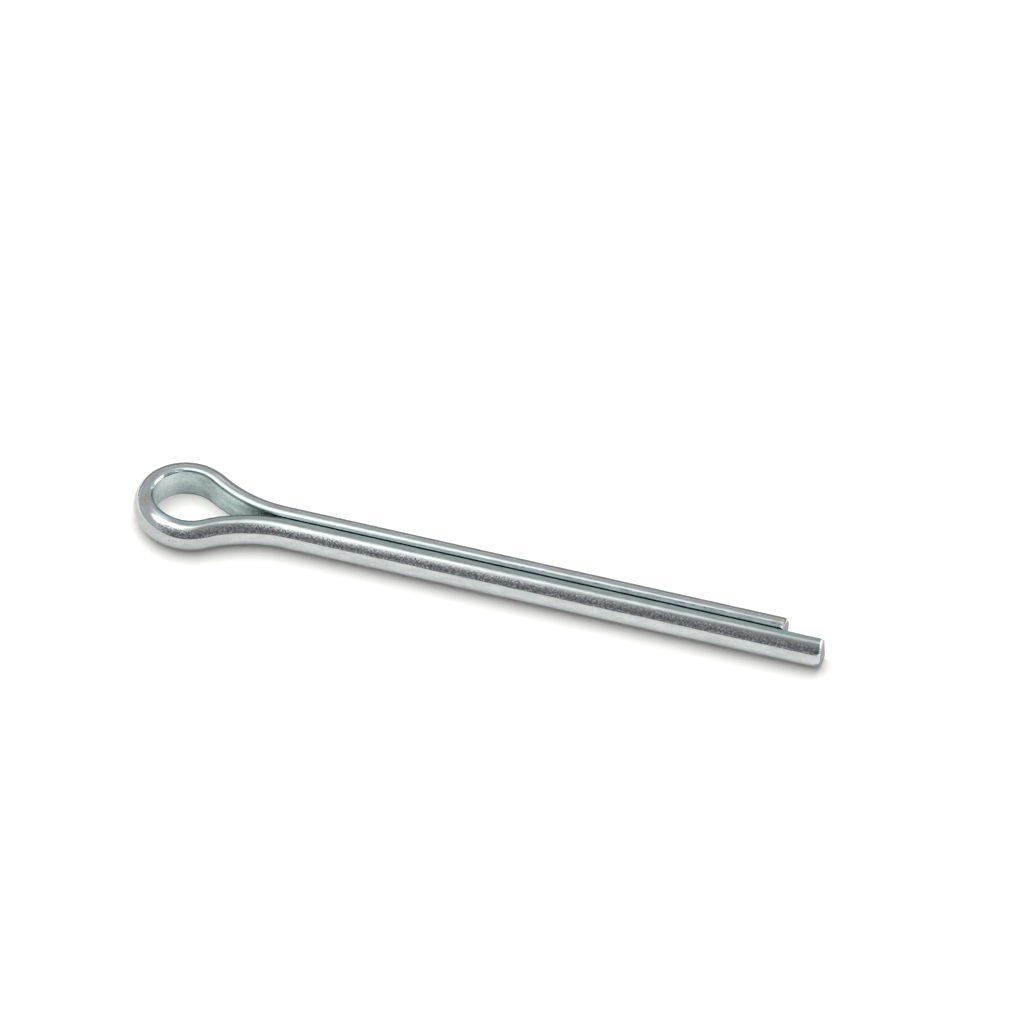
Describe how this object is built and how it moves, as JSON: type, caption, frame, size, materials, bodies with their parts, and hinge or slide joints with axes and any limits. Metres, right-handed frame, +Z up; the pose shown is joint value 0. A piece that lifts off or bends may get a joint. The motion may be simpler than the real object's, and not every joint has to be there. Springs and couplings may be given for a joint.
{
  "type": "cotter pin",
  "caption": "Cotter pin of half-round zinc-plated steel wire, folded to an oval eye with prongs of unequal length; pushed through a cross hole to lock a nut or pin.",
  "frame": {"origin": "middle of the pin's footprint, at the level of the surface on which it lies", "axes": "+X along the prongs towards their tips, +Y across the eye towards the shorter prong, +Z up, square to the plane in which the wire is bent"},
  "size_m": [0.0956, 0.0132, 0.0056],
  "materials": {
    "zinc_plate": "bright zinc plating over drawn wire, faintly streaked along its length"
  },
  "bodies": {
    "root": {"cotter_pin": "zinc_plate"}
  },
  "joints": []
}
